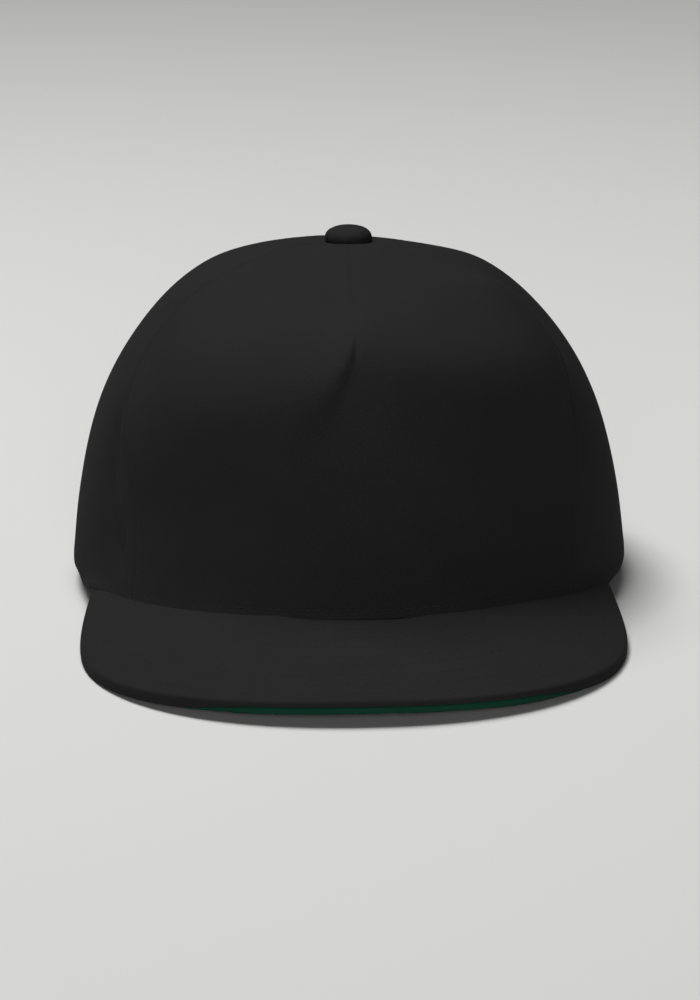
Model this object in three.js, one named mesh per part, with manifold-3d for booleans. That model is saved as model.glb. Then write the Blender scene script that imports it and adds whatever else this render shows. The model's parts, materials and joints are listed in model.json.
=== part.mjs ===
import * as THREE from "three";
import { mergeVertices } from "three/addons/utils/BufferGeometryUtils.js";
import Module from "manifold-3d";

// A flat bill cap: five crown panels, a covered button, a two-part bill, a sweatband and a rear strap.
// Millimetres, +Z up. The bill points to -Y, and the cap stands on z = 0 as it rests by itself.
// The crown and bill are drawn in the rim's own frame, where the rim lies in z = 0 round the origin,
// and one group then tips that frame until the bill and the rear rim both touch the surface.

// Cloth and gaps
const wall = 2.0; // crown panels: twill and its stiff backing
const gap = 0.3; // clearance between neighbouring pieces
const degree = Math.PI / 180;

// Crown sections from the rim up to the hole under the button. front, side and back are the reach from
// the centre, square is the exponent of the section's superellipse, and seam is the azimuth of the front
// panel's edge, in degrees from straight ahead.
const sections = [
  { height: 0.0, front: 104.0, side: 89.0, back: 104.0, square: 2.0, seam: 44.6 },
  { height: 16.0, front: 102.4, side: 87.6, back: 104.4, square: 2.0, seam: 46.5 },
  { height: 32.0, front: 100.4, side: 85.0, back: 103.0, square: 2.02, seam: 49.5 },
  { height: 46.0, front: 98.1, side: 81.6, back: 99.4, square: 2.04, seam: 53.6 },
  { height: 57.0, front: 95.6, side: 77.4, back: 94.0, square: 2.08, seam: 57.2 },
  { height: 66.0, front: 92.0, side: 72.6, back: 87.5, square: 2.12, seam: 59.2 },
  { height: 74.0, front: 86.2, side: 67.0, back: 79.2, square: 2.14, seam: 60.0 },
  { height: 81.0, front: 77.6, side: 61.0, back: 69.4, square: 2.14, seam: 60.0 },
  { height: 87.5, front: 65.5, side: 54.4, back: 58.0, square: 2.12, seam: 59.0 },
  { height: 92.8, front: 52.0, side: 47.2, back: 46.0, square: 2.08, seam: 57.2 },
  { height: 96.6, front: 39.0, side: 40.0, back: 35.0, square: 2.04, seam: 56.0 },
  { height: 99.4, front: 27.0, side: 30.0, back: 25.0, square: 2.0, seam: 55.0 },
  { height: 100.9, front: 17.0, side: 19.0, back: 16.5, square: 2.0, seam: 54.0 },
  { height: 101.2, front: 10.0, side: 10.5, back: 10.0, square: 2.0, seam: 54.0 },
  { height: 100.6, front: 4.2, side: 4.2, back: 4.2, square: 2.0, seam: 54.0 },
];
const topRow = sections.length - 1;
const rearSeam = { rim: 112, top: 126 }; // azimuth of the seam between a side and a back panel

// Rear opening: half an ellipse standing on the rim
const arch = { halfWidth: 38, height: 47 };

// Dents in the crown: a soft valley just behind the left front seam, and the dimple where the dart ends
const valley = { depth: 1.1, behindSeam: 9, spread: 2.6, lowest: 4, highest: 58, fade: 9 };
const dartEnd = { depth: 1.1, azimuth: 0.5, height: 74, radius: 7 };

// Bill
const bill = {
  slope: Math.tan(9.3 * degree), // fall of its centre line
  halfWidth: 83.4,
  widestAt: -85, // y of the widest line
  reach: 84.5, // from the widest line to the front edge
  roundness: 2.22, // exponent of the front outline
  rearReach: 155, // half-length of the ellipse that draws the sides back to the crown
  rearEnd: -45, // y where the outline goes under the crown
  topThickness: 1.9,
  lowerThickness: 2.3,
  topEdge: 1.5, // radius of the upper edge
  lowerEdge: 1.7, // radius of the lower edge
  lowerInset: 0.3, // the lower layer's edge stands this far inside the upper one
  endThickness: 0.5, // share of the thickness that is left at the rear ends
  taper: 18, // length over which the ends thin out
};

// Button: lip is the height of its widest line, undercut how far its foot is drawn in below that
const button = {
  radius: 7.5,
  height: 5.2,
  lip: 1.6,
  undercut: 0.8,
  foot: 1.0, // height of the foot's edge
  shank: 2.6,
  washer: 6,
  washerThickness: 1.2,
  washerDrop: 1.3, // below the crown's inner face
};

// Sweatband and strap
const band = { lowest: 1.2, highest: 31, thickness: 1.2, endInset: 1 };
const strap = { lowest: 2.4, width: 19, thickness: 1.2, tuck: 9, clearance: 0.45 };
const stud = { count: 7, pitch: 9.5, footRadius: 2.4, topRadius: 1.9, height: 1.0 };

// How the cap rests: the rim's tilt on the surface, and how deep its own weight presses the cloth flat
const restTilt = 4.2 * degree;
const pressed = 0.5;

// Facets
const facets = {
  front: 24,
  side: 8,
  back: 9,
  height: 19,
  archHeight: 7,
  bill: 30,
  billAcross: 5,
  billEdge: 4,
  outlineSide: 8,
  outlineFront: 48,
  button: 24,
  dome: 6,
  band: 48,
  bandRows: 3,
  strap: 16,
  strapRows: 4,
  stud: 12,
};
const weldDistance = 1e-4;
const cutterSize = 400; // more than the cap's length

const wasm = await Module();
wasm.setup();

// Value of one column between the table's rows, on a Catmull-Rom spline
function column(name, row) {
  const i = Math.min(Math.floor(row), topRow - 1);
  const f = row - i;
  const p1 = sections[i][name];
  const p2 = sections[i + 1][name];
  // The rim's first span starts along the chord of its two neighbours, and the last span ends along its own
  const start = i > 0 ? (p2 - sections[i - 1][name]) / 2 : (4 * p2 - 3 * p1 - sections[2][name]) / 2;
  const end = i + 2 <= topRow ? (sections[i + 2][name] - p1) / 2 : p2 - p1;
  const f2 = f * f;
  const f3 = f2 * f;
  return (2 * f3 - 3 * f2 + 1) * p1 + (f3 - 2 * f2 + f) * start + (3 * f2 - 2 * f3) * p2 + (f3 - f2) * end;
}

// Row at which the crown has a given height, below the flat top
function rowAt(height) {
  const halvings = 40;
  let low = 0;
  let high = topRow - 2;
  for (let step = 0; step < halvings; step += 1) {
    const middle = (low + high) / 2;
    if (column("height", middle) < height) low = middle;
    else high = middle;
  }
  return low;
}

// Outer face before dents: azimuth in degrees from straight ahead, positive towards +X
function plainCrown(azimuth, row) {
  const sine = Math.sin(azimuth * degree);
  const cosine = Math.cos(azimuth * degree);
  const reach = column(cosine > 0 ? "front" : "back", row);
  const square = column("square", row);
  const across = Math.abs(sine / column("side", row)) ** square;
  const along = Math.abs(cosine / reach) ** square;
  const radius = (across + along) ** (-1 / square);
  return new THREE.Vector3(radius * sine, -radius * cosine, column("height", row));
}

function crownNormal(azimuth, row) {
  const step = 0.02;
  const low = Math.max(row - step, 0);
  const high = Math.min(row + step, topRow);
  const across = plainCrown(azimuth + step, row).sub(plainCrown(azimuth - step, row));
  const up = plainCrown(azimuth, high).sub(plainCrown(azimuth, low));
  return across.cross(up).normalize();
}

const bell = (x) => Math.exp(-x * x);

// How far the cloth is pushed in at a place on the crown
function dent(azimuth, row) {
  const height = column("height", row);
  const fromSeam = -azimuth - column("seam", row) - valley.behindSeam;
  const below = THREE.MathUtils.smoothstep(height, valley.lowest - valley.fade, valley.lowest + valley.fade);
  const above = 1 - THREE.MathUtils.smoothstep(height, valley.highest - valley.fade, valley.highest + valley.fade);
  const fold = valley.depth * bell(fromSeam / valley.spread) * below * above;
  const across = plainCrown(dartEnd.azimuth, row).distanceTo(plainCrown(azimuth, row));
  const dimple = dartEnd.depth * bell(Math.hypot(across, height - dartEnd.height) / dartEnd.radius);
  return fold + dimple;
}

// A place in the crown's cloth, a given depth below its outer face
function crownPoint(azimuth, row, depth = 0) {
  const inward = depth + dent(azimuth, row);
  return plainCrown(azimuth, row).addScaledVector(crownNormal(azimuth, row), -inward);
}

// Azimuth that lies a given distance along the crown from another one
function shifted(azimuth, row, distance) {
  const half = 0.5;
  const perDegree = plainCrown(azimuth - half, row).distanceTo(plainCrown(azimuth + half, row));
  return azimuth + distance / perDegree;
}

// Closed solid between two faces of the same rows and columns of points
function slab(face, back) {
  const rows = face.length;
  const columns = face[0].length;
  const position = [...face.flat(), ...back.flat()].flatMap((p) => [p.x, p.y, p.z]);
  const at = (side, j, i) => side * rows * columns + j * columns + i;
  const index = [];
  const quad = (a, b, c, d) => index.push(a, b, c, a, c, d);
  for (let j = 0; j + 1 < rows; j += 1) {
    for (let i = 0; i + 1 < columns; i += 1) {
      quad(at(0, j, i), at(0, j, i + 1), at(0, j + 1, i + 1), at(0, j + 1, i));
      quad(at(1, j, i), at(1, j + 1, i), at(1, j + 1, i + 1), at(1, j, i + 1));
    }
    quad(at(0, j, 0), at(0, j + 1, 0), at(1, j + 1, 0), at(1, j, 0));
    quad(at(0, j, columns - 1), at(1, j, columns - 1), at(1, j + 1, columns - 1), at(0, j + 1, columns - 1));
  }
  for (let i = 0; i + 1 < columns; i += 1) {
    quad(at(0, 0, i), at(1, 0, i), at(1, 0, i + 1), at(0, 0, i + 1));
    quad(at(0, rows - 1, i), at(0, rows - 1, i + 1), at(1, rows - 1, i + 1), at(1, rows - 1, i));
  }
  const geometry = new THREE.BufferGeometry();
  geometry.setAttribute("position", new THREE.Float32BufferAttribute(position, 3));
  geometry.setIndex(index);
  return geometry;
}

const spaced = (from, to, count) => Array.from({ length: count + 1 }, (_, i) => from + ((to - from) * i) / count);

// A crown panel: edges(row) gives the azimuths of its two sides, rows lists its heights as table rows
function panel(rows, columns, edges) {
  const layer = (depth) =>
    rows.map((row) => {
      const [from, to] = edges(row);
      return spaced(from, to, columns).map((azimuth) => crownPoint(azimuth, row, depth));
    });
  return slab(layer(0), layer(wall));
}

const sideOfGap = gap / 2;
const frontSeamAt = (row) => column("seam", row);
const rearSeamAt = (row) => THREE.MathUtils.lerp(rearSeam.rim, rearSeam.top, row / topRow);
const evenRows = spaced(0, topRow, facets.height);

function frontPanel() {
  return panel(evenRows, facets.front, (row) => {
    const edge = shifted(frontSeamAt(row), row, -sideOfGap);
    return [-edge, edge];
  });
}

// side is 1 on the +X side and -1 on the other
function ordered(side, from, to) {
  return side > 0 ? [from, to] : [-to, -from];
}

function sidePanel(side) {
  return panel(evenRows, facets.side, (row) =>
    ordered(side, shifted(frontSeamAt(row), row, sideOfGap), shifted(rearSeamAt(row), row, -sideOfGap)),
  );
}

// Azimuth of the rear opening's edge at a height on the crown
function archEdge(row) {
  const height = column("height", row);
  const halfWidth = arch.halfWidth * Math.sqrt(Math.max(0, 1 - (height / arch.height) ** 2));
  const centre = shifted(180, row, -sideOfGap);
  const edge = 180 - Math.asin(halfWidth / column("back", row)) / degree;
  return Math.min(edge, centre);
}

function backPanel(side) {
  const archRows = spaced(0, 90, facets.archHeight).map((turn) => rowAt(arch.height * Math.sin(turn * degree)));
  const rows = [...archRows, ...spaced(archRows.at(-1), topRow, facets.height - facets.archHeight).slice(1)];
  return panel(rows, facets.back, (row) => ordered(side, shifted(rearSeamAt(row), row, sideOfGap), archEdge(row)));
}

// Bill: a flat board bent over the front of the rim, level under the crown's wall and falling along -Y from it
function billHeight(point) {
  const rim = sections[0];
  const rimReach = rim.front * Math.sqrt(1 - (point.x / rim.side) ** 2);
  return -bill.slope * Math.max(0, -point.y - rimReach);
}

function billOutline() {
  const points = [];
  const power = 2 / bill.roundness;
  const sideX = (y) => bill.halfWidth * Math.sqrt(1 - ((y - bill.widestAt) / bill.rearReach) ** 2);
  const sideY = spaced(bill.rearEnd, bill.widestAt, facets.outlineSide);
  for (const y of sideY) points.push(new THREE.Vector3(-sideX(y), y, 0));
  for (const turn of spaced(0, 180, facets.outlineFront).slice(1, -1)) {
    const cosine = Math.cos(turn * degree);
    const x = -bill.halfWidth * Math.sign(cosine) * Math.abs(cosine) ** power;
    points.push(new THREE.Vector3(x, bill.widestAt - bill.reach * Math.sin(turn * degree) ** power, 0));
  }
  for (const y of sideY.reverse()) points.push(new THREE.Vector3(sideX(y), y, 0));
  return new THREE.CatmullRomCurve3(points, false, "centripetal");
}

// The bill's inner edge, under the crown's wall
function billInnerEdge() {
  const rim = sections[0];
  const reachX = rim.side - wall;
  const reachY = rim.front - wall;
  const end = Math.acos(-bill.rearEnd / reachY) / degree;
  const points = spaced(-end, end, facets.bill * 2).map(
    (turn) => new THREE.Vector3(reachX * Math.sin(turn * degree), -reachY * Math.cos(turn * degree), 0),
  );
  return new THREE.CatmullRomCurve3(points, false, "centripetal");
}

// Share of the bill's thickness at one of its ribs, counted from 0 at one rear end to facets.bill at the other
function billShare(rib, length) {
  const fromEnd = (Math.min(rib, facets.bill - rib) / facets.bill) * length;
  return THREE.MathUtils.lerp(bill.endThickness, 1, THREE.MathUtils.smoothstep(fromEnd, 0, bill.taper));
}

// One layer of the bill. depths(share) gives how far its two faces lie below the board's upper face,
// and one of its outer edges is rounded.
function billLayer({ depths, inset, edge, roundTop }) {
  const outline = billOutline();
  const inner = billInnerEdge().getSpacedPoints(facets.bill);
  const outer = outline.getSpacedPoints(facets.bill);
  const outlineLength = outline.getLength();
  const turns = spaced(0, 90, facets.billEdge).slice(1);
  const face = [];
  const back = [];
  inner.forEach((from, rib) => {
    const along = outer[rib].clone().sub(from);
    const length = along.length() - inset;
    along.normalize();
    const place = (distance, depth) => {
      const point = from.clone().addScaledVector(along, distance);
      return point.setZ(billHeight(point) - depth);
    };
    const share = billShare(rib, outlineLength);
    const [top, bottom] = depths(share);
    const radius = Math.min(edge * share, length);
    const start = length - radius;
    const rounded = turns.map((turn) => [start + radius * Math.sin(turn * degree), radius * (1 - Math.cos(turn * degree))]);
    const square = turns.map((_, i) => [start + (radius * (i + 1)) / facets.billEdge, 0]);
    const flat = spaced(0, start, facets.billAcross);
    const upper = roundTop ? rounded : square;
    const lower = roundTop ? square : rounded;
    face.push([...flat.map((d) => place(d, top)), ...upper.map(([d, drop]) => place(d, top + drop))]);
    back.push([...flat.map((d) => place(d, bottom)), ...lower.map(([d, rise]) => place(d, bottom - rise))]);
  });
  return slab(face, back);
}

const billTop = () =>
  billLayer({
    depths: (share) => [gap, gap + bill.topThickness * share],
    inset: 0,
    edge: bill.topEdge,
    roundTop: true,
  });

const billUnderside = () =>
  billLayer({
    depths: (share) => {
      const top = 2 * gap + bill.topThickness * share;
      return [top, top + bill.lowerThickness * share];
    },
    inset: bill.lowerInset,
    edge: bill.lowerEdge,
    roundTop: false,
  });

// Button: a covered dome on a shank that is held by a washer inside the crown
function buttonPiece() {
  const top = sections[topRow].height;
  const under = top + gap;
  const washerTop = top - wall - button.washerDrop;
  const washerBottom = washerTop - button.washerThickness;
  const profile = [
    new THREE.Vector2(0, washerBottom),
    new THREE.Vector2(button.washer, washerBottom),
    new THREE.Vector2(button.washer, washerTop),
    new THREE.Vector2(button.shank, washerTop),
    new THREE.Vector2(button.shank, under + gap),
    new THREE.Vector2(button.radius - button.undercut, under + button.foot),
  ];
  for (const turn of spaced(0, 90, facets.dome)) {
    const rise = under + button.lip + (button.height - button.lip) * Math.sin(turn * degree);
    profile.push(new THREE.Vector2(turn === 90 ? 0 : button.radius * Math.cos(turn * degree), rise));
  }
  return new THREE.LatheGeometry(profile, facets.button).rotateX(Math.PI / 2);
}

// Sweatband: lies inside the crown from one foot of the rear opening round the front to the other,
// off the cloth by the thickness of the strap that goes in behind its ends
function sweatband() {
  const rows = spaced(rowAt(band.lowest), rowAt(band.highest), facets.bandRows);
  const end = (row) => shifted(archEdge(row), row, -band.endInset);
  const outside = wall + strap.thickness + 2 * strap.clearance;
  const layer = (depth) =>
    rows.map((row) =>
      spaced(-end(row), end(row), facets.band).map((azimuth) =>
        plainCrown(azimuth, row).addScaledVector(crownNormal(azimuth, row), -outside - depth),
      ),
    );
  return slab(layer(0), layer(band.thickness));
}

// Strap: a plastic strip across the foot of the rear opening, with its ends tucked in behind the panels
// and a row of low studs along its middle
function strapPiece() {
  const rows = spaced(rowAt(strap.lowest), rowAt(strap.lowest + strap.width), facets.strapRows);
  const reach = 180 - shifted(archEdge(0), 0, -strap.tuck);
  const azimuths = spaced(180 - reach, 180 + reach, facets.strap);
  const outside = wall + strap.clearance;
  const layer = (depth) => rows.map((row) => azimuths.map((a) => crownPoint(a, row, outside + depth)));
  const strip = slab(layer(0), layer(strap.thickness));
  const middle = rowAt(strap.lowest + strap.width / 2);
  const studRow = (stud.pitch * (stud.count - 1)) / 2;
  const studs = spaced(-studRow, studRow, stud.count - 1).map((distance) => {
    const azimuth = shifted(180, middle, distance);
    // Half of the cylinder stands out of the strip
    const knob = new THREE.CylinderGeometry(stud.topRadius, stud.footRadius, stud.height * 2, facets.stud);
    const outward = crownNormal(azimuth, middle);
    const turn = new THREE.Quaternion().setFromUnitVectors(new THREE.Vector3(0, 1, 0), outward);
    knob.applyQuaternion(turn);
    knob.translate(...crownPoint(azimuth, middle, outside).toArray());
    return solid(knob);
  });
  return unsolid(studs.reduce((whole, knob) => whole.add(knob), solid(strip)));
}

// Between a three.js geometry and a solid that can be joined and cut
function solid(geometry) {
  const bare = geometry.clone();
  bare.deleteAttribute("normal");
  bare.deleteAttribute("uv");
  const merged = mergeVertices(bare, weldDistance);
  return new wasm.Manifold(
    new wasm.Mesh({
      numProp: 3,
      vertProperties: new Float32Array(merged.attributes.position.array),
      triVerts: new Uint32Array(merged.index.array),
    }),
  );
}

function unsolid(manifold) {
  const mesh = manifold.getMesh();
  const geometry = new THREE.BufferGeometry();
  geometry.setAttribute("position", new THREE.BufferAttribute(new Float32Array(mesh.vertProperties), 3));
  geometry.setIndex(new THREE.BufferAttribute(new Uint32Array(mesh.triVerts), 1));
  return geometry;
}

const finish = {
  blackTwill: { color: 0x17181b, roughness: 0.92, metalness: 0 },
  greenTwill: { color: 0x0f5a3c, roughness: 0.9, metalness: 0 },
  bandCloth: { color: 0x141517, roughness: 0.95, metalness: 0 },
  strapPlastic: { color: 0x101113, roughness: 0.5, metalness: 0 },
};

function piece(name, geometry, look) {
  const mesh = new THREE.Mesh(geometry, new THREE.MeshStandardMaterial(look));
  mesh.name = name;
  return mesh;
}

// How low a geometry reaches once the rim's frame is tilted
const tilted = new THREE.Matrix4().makeRotationX(-restTilt);

function lowestOf(geometry) {
  return new THREE.Box3().setFromBufferAttribute(geometry.clone().applyMatrix4(tilted).attributes.position).min.z;
}

// Cuts a geometry of the rim's frame flat at a level of the tilted frame
function pressedFlat(geometry, level) {
  const below = new THREE.BoxGeometry(cutterSize, cutterSize, cutterSize);
  below.translate(0, 0, level - cutterSize / 2);
  below.applyMatrix4(tilted.clone().invert());
  return unsolid(solid(geometry).subtract(solid(below)));
}

const underside = billUnderside();
const backPanels = { left: backPanel(-1), right: backPanel(1) };
const surface = Math.max(lowestOf(underside), lowestOf(backPanels.left)) + pressed;

const cap = new THREE.Group();
cap.add(piece("front_panel", frontPanel(), finish.blackTwill));
cap.add(piece("side_panel_left", sidePanel(-1), finish.blackTwill));
cap.add(piece("side_panel_right", sidePanel(1), finish.blackTwill));
cap.add(piece("back_panel_left", pressedFlat(backPanels.left, surface), finish.blackTwill));
cap.add(piece("back_panel_right", pressedFlat(backPanels.right, surface), finish.blackTwill));
cap.add(piece("button", buttonPiece(), finish.blackTwill));
cap.add(piece("bill_top", billTop(), finish.blackTwill));
cap.add(piece("bill_underside", pressedFlat(underside, surface), finish.greenTwill));
cap.add(piece("sweatband", sweatband(), finish.bandCloth));
cap.add(piece("rear_strap", strapPiece(), finish.strapPlastic));

// Stands on z = 0, with the middle of its length over the origin
cap.rotation.x = -restTilt;
cap.updateMatrixWorld(true);
const extent = new THREE.Box3().setFromObject(cap, true);
cap.position.set(0, -(extent.min.y + extent.max.y) / 2, -surface);

export default cap;
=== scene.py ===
import json
import math

import bpy
from mathutils import Euler, Matrix, Vector, noise
from mathutils.bvhtree import BVHTree

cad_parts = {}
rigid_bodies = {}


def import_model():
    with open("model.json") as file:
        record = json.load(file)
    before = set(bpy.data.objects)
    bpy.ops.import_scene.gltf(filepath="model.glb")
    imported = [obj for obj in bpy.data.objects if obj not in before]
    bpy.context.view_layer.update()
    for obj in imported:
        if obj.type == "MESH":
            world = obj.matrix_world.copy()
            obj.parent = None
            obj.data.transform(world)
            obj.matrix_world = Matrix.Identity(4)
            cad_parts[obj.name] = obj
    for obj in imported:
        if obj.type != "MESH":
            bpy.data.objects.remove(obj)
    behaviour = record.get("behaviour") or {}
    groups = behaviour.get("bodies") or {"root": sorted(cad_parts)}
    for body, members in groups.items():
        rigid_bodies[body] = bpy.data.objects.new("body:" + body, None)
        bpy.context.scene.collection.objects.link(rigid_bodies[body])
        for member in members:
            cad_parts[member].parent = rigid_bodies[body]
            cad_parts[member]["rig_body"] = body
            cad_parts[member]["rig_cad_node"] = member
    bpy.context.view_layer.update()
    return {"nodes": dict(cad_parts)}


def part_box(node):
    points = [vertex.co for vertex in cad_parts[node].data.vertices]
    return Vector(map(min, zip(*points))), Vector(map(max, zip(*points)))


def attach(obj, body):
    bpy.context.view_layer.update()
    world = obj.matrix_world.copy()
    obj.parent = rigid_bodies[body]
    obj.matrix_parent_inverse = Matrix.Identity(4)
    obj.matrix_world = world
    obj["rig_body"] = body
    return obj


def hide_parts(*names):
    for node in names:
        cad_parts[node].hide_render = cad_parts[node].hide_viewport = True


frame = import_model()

# The look of a flat bill cap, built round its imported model. Metres, +Z up, the bill points to -Y.
# Cloth is drawn in the rim's own frame, where the rim lies in z = 0 round the origin, and tipped with it last.

mm = 0.001
far = 1.0  # a distance beyond every part of the cap

rim = {
    "tilt": math.radians(4.2),  # of the rim, where the cap rests
    "centre": Vector((0, 33.12 * mm, 6.42 * mm)),
    "front": 104 * mm,  # reach of the rim from its centre
    "side": 89 * mm,
}
rimFrame = Matrix.Translation(rim["centre"]) @ Matrix.Rotation(-rim["tilt"], 4, "X")


# Small helpers

def selectOnly(piece):
    bpy.ops.object.select_all(action="DESELECT")
    piece.select_set(True)
    bpy.context.view_layer.objects.active = piece


def editMesh(piece, kind="VERT"):
    selectOnly(piece)
    bpy.ops.object.mode_set(mode="EDIT")
    bpy.ops.mesh.select_mode(type=kind)
    bpy.ops.mesh.select_all(action="DESELECT")


def objectMode():
    bpy.ops.object.mode_set(mode="OBJECT")


def addModifier(piece, kind, **values):
    modifier = piece.modifiers.new(kind.title(), kind)
    for name, value in values.items():
        setattr(modifier, name, value)
    return modifier


def applyModifiers(piece):
    selectOnly(piece)
    for modifier in list(piece.modifiers):
        bpy.ops.object.modifier_apply(modifier=modifier.name)


def subdivide(piece, levels):
    addModifier(piece, "SUBSURF", levels=levels, render_levels=levels)
    applyModifiers(piece)


def bell(x):
    return math.exp(-x * x)


def ease(x, low, high):
    t = min(max((x - low) / (high - low), 0), 1)
    return t * t * (3 - 2 * t)


# A smooth hill: its place, its half widths before and after it, and its height
def hill(x, at, before, after, height):
    return height * bell((x - at) / (before if x < at else after))


def lerp(a, b, t):
    return a + (b - a) * t


def spaced(low, high, count):
    return [lerp(low, high, i / (count - 1)) for i in range(count)]


def lengthsAlong(places):
    lengths = [0]
    for a, b in zip(places, places[1:]):
        lengths.append(lengths[-1] + (b - a).length)
    return lengths


# The stretch between two places that a length along a line falls in, and the share of the stretch
def stretchAt(lengths, at):
    i = 0
    while i < len(lengths) - 2 and lengths[i + 1] < at:
        i += 1
    return i, (at - lengths[i]) / max(lengths[i + 1] - lengths[i], 1e-9)


# A tree of a mesh's faces, to cast rays at
def castingTree(piece):
    spots = [vertex.co for vertex in piece.data.vertices]
    return BVHTree.FromPolygons(spots, [face.vertices for face in piece.data.polygons])


# Names a primitive that was just added, with its place and size put into its mesh
def takeUp(name):
    piece = bpy.context.object
    piece.name = name
    bpy.ops.object.transform_apply(location=True, rotation=True, scale=True)
    return piece


def roundEdges(piece, width, segments, sharpness):
    addModifier(piece, "BEVEL", width=width, segments=segments, limit_method="ANGLE",
                angle_limit=math.radians(sharpness))
    applyModifiers(piece)


# Takes a piece out of the rim's frame, flattens what would go under the surface, and hands it over
def finishPiece(piece, material, replaced=None, smooth=True, inRimFrame=True):
    if inRimFrame:
        piece.data.transform(rimFrame)
    for vertex in piece.data.vertices:
        vertex.co.z = max(vertex.co.z, 0)
    if smooth:
        selectOnly(piece)
        bpy.ops.object.shade_smooth()
    piece.data.materials.clear()
    for each in material if isinstance(material, list) else [material]:
        piece.data.materials.append(each)
    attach(piece, "root")
    if replaced:
        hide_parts(replaced)


# A flat sheet of rows and columns, whose vertices are then laid in place
def gridSheet(name, rows, columns):
    bpy.ops.object.select_all(action="DESELECT")
    bpy.ops.mesh.primitive_grid_add(x_subdivisions=columns - 1, y_subdivisions=rows - 1, size=1)
    sheet = bpy.context.object
    sheet.name = name
    return sheet


def layMap(piece, places):
    # places holds a length across and a length along for each vertex, in metres
    layer = piece.data.uv_layers.active.data
    for loop in piece.data.loops:
        layer[loop.index].uv = places[loop.vertex_index]


def mergedCopy(node, name):
    selectOnly(frame["nodes"][node])
    bpy.ops.object.duplicate()
    piece = bpy.context.object
    piece.name = name
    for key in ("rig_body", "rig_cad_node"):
        del piece[key]
    editMesh(piece)
    bpy.ops.mesh.select_all(action="SELECT")
    bpy.ops.mesh.customdata_custom_splitnormals_clear()
    bpy.ops.mesh.remove_doubles(threshold=0.01 * mm)
    bpy.ops.mesh.tris_convert_to_quads(face_threshold=math.radians(40), shape_threshold=math.radians(60))
    objectMode()
    piece.data.materials.clear()
    return piece


# Materials

def newMaterial(name, **sockets):
    material = bpy.data.materials.new(name)
    material.use_nodes = True
    shader = material.node_tree.nodes["Principled BSDF"]
    for socket, value in sockets.items():
        shader.inputs[socket.replace("_", " ")].default_value = value
    return material, material.node_tree, shader


def mathNode(tree, operation, a, b=None):
    node = tree.nodes.new("ShaderNodeMath")
    node.operation = operation
    for socket, value in zip(node.inputs, (a, b)):
        if isinstance(value, (int, float)):
            socket.default_value = value
        elif value is not None:
            tree.links.new(value, socket)
    return node.outputs[0]


def noiseNode(tree, vector, scale, detail=3, rough=0.55):
    node = tree.nodes.new("ShaderNodeTexNoise")
    node.inputs["Scale"].default_value = scale
    node.inputs["Detail"].default_value = detail
    node.inputs["Roughness"].default_value = rough
    tree.links.new(vector, node.inputs["Vector"])
    return node.outputs["Fac"]


def mixColours(tree, share, dark, light, shader):
    colours = tree.nodes.new("ShaderNodeMix")
    colours.data_type = "RGBA"
    colours.inputs["A"].default_value = (*dark, 1)
    colours.inputs["B"].default_value = (*light, 1)
    tree.links.new(share, colours.inputs["Factor"])
    tree.links.new(colours.outputs["Result"], shader.inputs["Base Color"])


def bumpNode(tree, height, strength, distance, shader):
    bump = tree.nodes.new("ShaderNodeBump")
    bump.inputs["Strength"].default_value = strength
    bump.inputs["Distance"].default_value = distance
    tree.links.new(height, bump.inputs["Height"])
    tree.links.new(bump.outputs["Normal"], shader.inputs["Normal"])


# Twill: slanted ribs, each made of short yarns, with uneven yarn and a little dust. Its colour tone is partly
# painted shade, darker in the grooves between the ribs, and partly tone that varies at random in patches.
# Lengths in metres.
def makeTwill():
    tree = bpy.data.node_groups.new("twillWeave", "ShaderNodeTree")
    for name, kind in (("Place", "Vector"), ("Rib Width", "Float"), ("Slant", "Float")):
        tree.interface.new_socket(name, in_out="INPUT", socket_type="NodeSocket" + kind)
    for name in ("Height", "Tone And Rib Shade"):
        tree.interface.new_socket(name, in_out="OUTPUT", socket_type="NodeSocketFloat")

    def add(a, b):
        return mathNode(tree, "ADD", a, b)

    def times(a, b):
        return mathNode(tree, "MULTIPLY", a, b)

    def wave(phase):
        return mathNode(tree, "SINE", times(phase, 2 * math.pi))

    into = tree.nodes.new("NodeGroupInput").outputs
    out = tree.nodes.new("NodeGroupOutput").inputs
    split = tree.nodes.new("ShaderNodeSeparateXYZ")
    tree.links.new(into["Place"], split.inputs[0])
    wander = noiseNode(tree, into["Place"], 420)  # yarns drift by part of a rib
    across = mathNode(tree, "DIVIDE", split.outputs["X"], into["Rib Width"])
    along = times(mathNode(tree, "DIVIDE", split.outputs["Y"], into["Rib Width"]), into["Slant"])
    rib = add(times(wave(add(add(across, along), times(wander, 0.5))), 0.5), 0.5)
    yarn = wave(mathNode(tree, "SUBTRACT", times(along, 2), across))
    fuzz = noiseNode(tree, into["Place"], 2600, 2, 0.6)
    patches = noiseNode(tree, into["Place"], 26, 4, 0.6)
    tree.links.new(add(add(rib, times(yarn, 0.16)), times(fuzz, 0.35)), out["Height"])
    # Colour tone: a share of the rib is painted shade in the grooves between ribs, and the rest is patches of
    # tone that vary at random
    tree.links.new(add(times(rib, 0.35), times(patches, 0.65)), out["Tone And Rib Shade"])
    return tree


def clothMaterial(name, look):
    material, tree, shader = newMaterial(name, Roughness=look["roughness"], Specular_IOR_Level=clothGloss)
    place = tree.nodes.new("ShaderNodeUVMap")
    weave = tree.nodes.new("ShaderNodeGroup")
    weave.node_tree = twillWeave
    weave.inputs["Rib Width"].default_value = look["rib"]
    weave.inputs["Slant"].default_value = look["slant"]
    tree.links.new(place.outputs["UV"], weave.inputs["Place"])
    # The weave's colour is partly painted shade in the rib grooves and partly tone that varies at random in
    # patches
    mixColours(tree, weave.outputs["Tone And Rib Shade"], look["dark"], look["light"], shader)
    bumpNode(tree, weave.outputs["Height"], look["relief"], 0.12 * mm, shader)
    return material


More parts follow.
